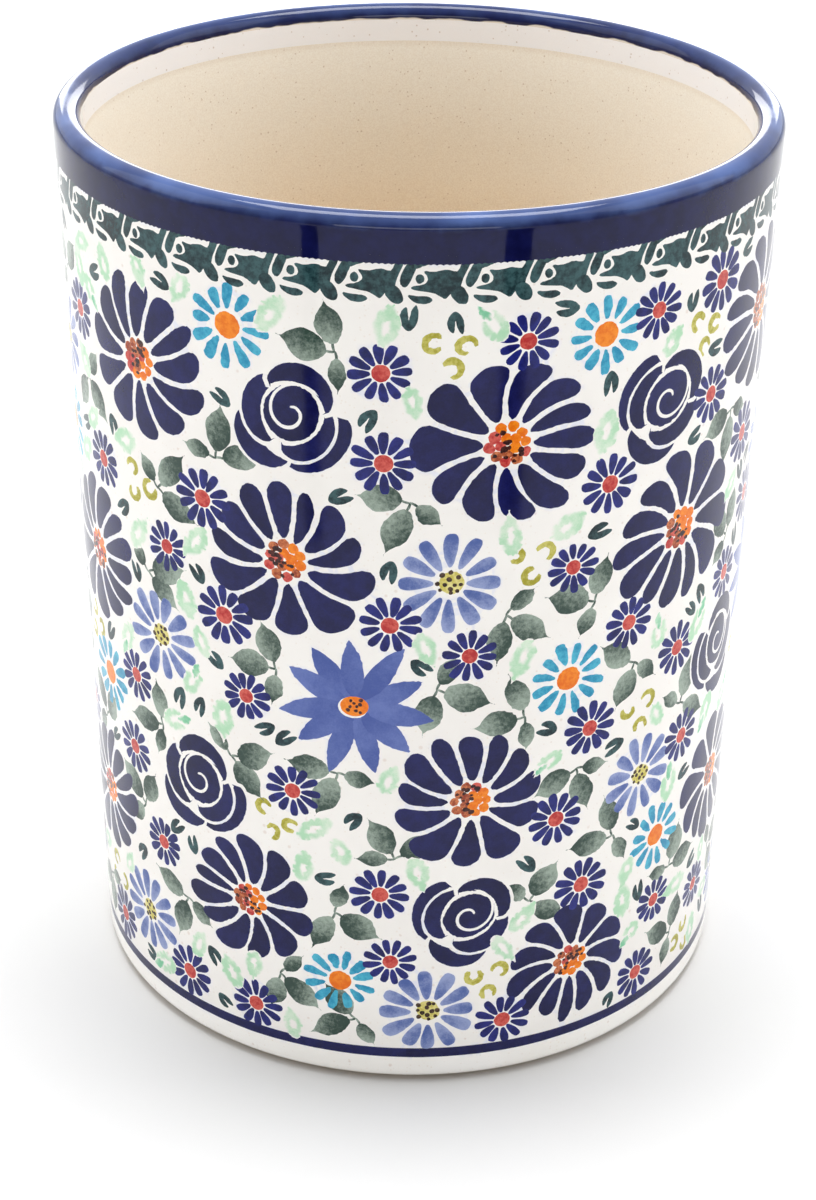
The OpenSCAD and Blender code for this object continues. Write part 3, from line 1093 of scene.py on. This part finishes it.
def clay_finish():
    """Bare fired clay: sandy, matt, with iron specks."""
    finish = Finish("fired_clay")
    patchy = finish.between(finish.noise(3.0, 4.0, 0.6), 0.3, 0.7)
    colour = finish.blend(patchy, srgb("#D3C0A2"), srgb("#BFA684"))
    colour = finish.speckle(colour, 1.2, 0.35, srgb("#7A5A40"), 0.7)
    finish.feed(finish.surface.inputs["Base Color"], colour)
    matt = finish.between(finish.noise(0.7, 3.0), 0.3, 0.7, 0.72, 0.92)
    finish.feed(finish.surface.inputs["Roughness"], matt)
    finish.relief(((2.2, 0.08), (0.35, 0.05)))
    return finish.material


def paint_materials(rim):
    """One material for each paint, in the order of PAINTS; the band under the lip takes the rim's."""
    made = []
    for name, recipe in PAINTS.items():
        if name == "band_blue":
            made.append(rim)
        elif name in GROUNDS:
            made.append(ground_finish(name, *recipe[:2]))
        else:
            made.append(paint_finish(name, *recipe))
    return made


# ---------------------------------------------------------------- studio

def floor():
    """A wide pale floor."""
    mesh = bpy.data.meshes.new("floor")
    radius, corners = 12, 96
    angles = [TURN * i / corners for i in range(corners)]
    edge = [(radius * math.cos(a), radius * math.sin(a), 0) for a in angles]
    mesh.from_pydata(edge, [], [tuple(range(corners))])
    finish = Finish("floor")
    tone = finish.between(finish.noise(300), 0.3, 0.7)
    grey = finish.blend(tone, (0.70, 0.70, 0.70), (0.73, 0.73, 0.73))
    finish.feed(finish.surface.inputs["Base Color"], grey)
    finish.surface.inputs["Roughness"].default_value = 0.9
    mesh.materials.append(finish.material)
    add_piece("floor", mesh)


def softbox(name, azimuth, elevation, distance, wide, high, power, gloss_only=False):
    """A large area light that faces the jar; azimuth 0 is in front of it, positive to its right."""
    light = bpy.data.lights.new(name, "AREA")
    light.shape = "RECTANGLE"
    light.size, light.size_y = wide, high
    light.energy = power
    lamp = bpy.data.objects.new(name, light)
    lamp.visible_diffuse = not gloss_only
    a, e = math.radians(azimuth), math.radians(elevation)
    aim = Vector((0, 0, JAR_H * MM / 2))
    offset = Vector((math.sin(a) * math.cos(e), -math.cos(a) * math.cos(e), math.sin(e))) * distance
    lamp.location = aim + offset
    lamp.rotation_euler = offset.to_track_quat("Z", "Y").to_euler()
    bpy.context.scene.collection.objects.link(lamp)


def flag(name, azimuth, distance, wide):
    """A slim black card that stands beside the camera and shows only as a dark line in the glaze."""
    mesh = bpy.data.meshes.new(name)
    side, low, high = wide / 2, 0.002, 0.13
    corners = [(-side, 0, low), (side, 0, low), (side, 0, high), (-side, 0, high)]
    mesh.from_pydata(corners, [], [(0, 1, 2, 3)])
    finish = Finish(name)
    finish.feed(finish.surface.inputs["Base Color"], srgb("#040405"))
    finish.surface.inputs["Roughness"].default_value = 1.0
    finish.surface.inputs["Specular IOR Level"].default_value = 0.0
    mesh.materials.append(finish.material)
    card = add_piece(name, mesh)
    a = math.radians(azimuth)
    card.location = (math.sin(a) * distance, -math.cos(a) * distance, 0)
    card.rotation_euler = (0, 0, a)
    card.visible_camera = False
    card.visible_shadow = False
    card.visible_diffuse = False


def surroundings(front, back):
    """White surroundings, brighter behind the jar than in front of it."""
    world = bpy.data.worlds.new("studio")
    world.use_nodes = True
    tree = world.node_tree
    sky = tree.nodes["Background"]
    sky.inputs["Color"].default_value = (1, 1, 1, 1)
    direction = tree.nodes.new("ShaderNodeSeparateXYZ")
    tree.links.new(tree.nodes.new("ShaderNodeTexCoord").outputs["Generated"], direction.inputs[0])
    strength = tree.nodes.new("ShaderNodeMapRange")
    tree.links.new(direction.outputs["Y"], strength.inputs["Value"])
    for socket, number in (("From Min", -1.0), ("From Max", 1.0), ("To Min", front), ("To Max", back)):
        strength.inputs[socket].default_value = number
    tree.links.new(strength.outputs["Result"], sky.inputs["Strength"])
    bpy.context.scene.world = world


def studio():
    """White surroundings, soft lights at the sides, above and in front, a glow behind and two dark cards."""
    surroundings(0.12, 1.25)
    bpy.context.scene.view_settings.view_transform = "Standard"
    softbox("left_softbox", -88, 34, 1.5, 1.2, 1.2, 5)
    softbox("right_softbox", 88, 34, 1.5, 1.2, 1.2, 5)
    softbox("top_softbox", 180, 82, 1.4, 1.2, 0.6, 26)
    softbox("front_fill", 0, 10, 1.6, 1.4, 0.3, 4.4)
    softbox("back_glow", 180, 11, 1.6, 1.3, 0.5, 7.5, gloss_only=True)
    flag("left_flag", -28.5, 0.27, 0.022)
    flag("right_flag", 27, 0.27, 0.034)


def camera():
    """Looks down at the jar from the front, slightly rolled."""
    lens, distance, pitch, roll = 76.8, 2.935 * JAR_H * MM, math.radians(27.93), math.radians(0.78)
    aim = Vector((-0.0047, 0, 0.4067)) * JAR_H * MM
    away = Vector((0, -math.cos(pitch), math.sin(pitch)))
    right = Vector((1, 0, 0))
    up = away.cross(right)
    turn = Matrix.Rotation(roll, 3, away)
    data = bpy.data.cameras.new("camera")
    data.lens = lens
    data.clip_start = 0.01
    eye = bpy.data.objects.new("camera", data)
    axes = Matrix((turn @ right, turn @ up, away)).transposed().to_4x4()
    eye.matrix_world = Matrix.Translation(aim + away * distance) @ axes
    bpy.context.scene.collection.objects.link(eye)
    bpy.context.scene.camera = eye


# ---------------------------------------------------------------- the jar

def settle(piece, slot, materials, *nodes):
    """Gives a piece its materials and its body, and hides the CAD nodes that it stands for."""
    for material in materials:
        piece.data.materials.append(material)
    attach(piece, "root")
    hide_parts(*nodes)


def main():
    """Builds every piece."""
    rim = rim_finish()
    paints = paint_materials(rim)
    cream = paints[PAINT_INDEX["cream"]]
    # The fourth colour of each inside finish is its lighter top, which is partly painted light.
    tan = inner_finish("inner_tan", "#F1DAB3", "#EBCC9E", "#FDFCF4", 0.15, 0.3)
    collar = inner_finish("collar_white", "#FDFCFA", "#FAF8F4", "#F9FBFF", 0.0, 0.05)
    clay = clay_finish()
    sheet = paint_field()
    for number in range(PANELS):
        panel = sheet_panel(sheet, number)
        settle(panel, "painted_glaze", paints, "floral_glaze", "leaf_border_glaze", "cobalt_foot_line")
    settle(rim_coat(), "cobalt_glaze", [rim], "cobalt_rim_glaze")
    settle(foot_coat(), "cream_glaze", [cream], "foot_band_glaze")
    settle(inside_coat("collar_coat", COLLAR_Z, COLLAR_TOP_Z), "cream_glaze", [collar], "inner_collar_glaze")
    settle(inside_coat("inner_coat", COVE_Z, COLLAR_Z), "inner_glaze", [tan], "inner_wall_glaze")
    settle(floor_coat(), "inner_glaze", [tan], "inner_floor_glaze")
    for node, material in (("clay_wall", clay), ("clay_floor", clay), ("foot_ring", clay),
                           ("underside_glaze", cream)):
        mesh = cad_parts[node].data
        mesh.materials.clear()
        mesh.materials.append(material)


main()
floor()
studio()
camera()
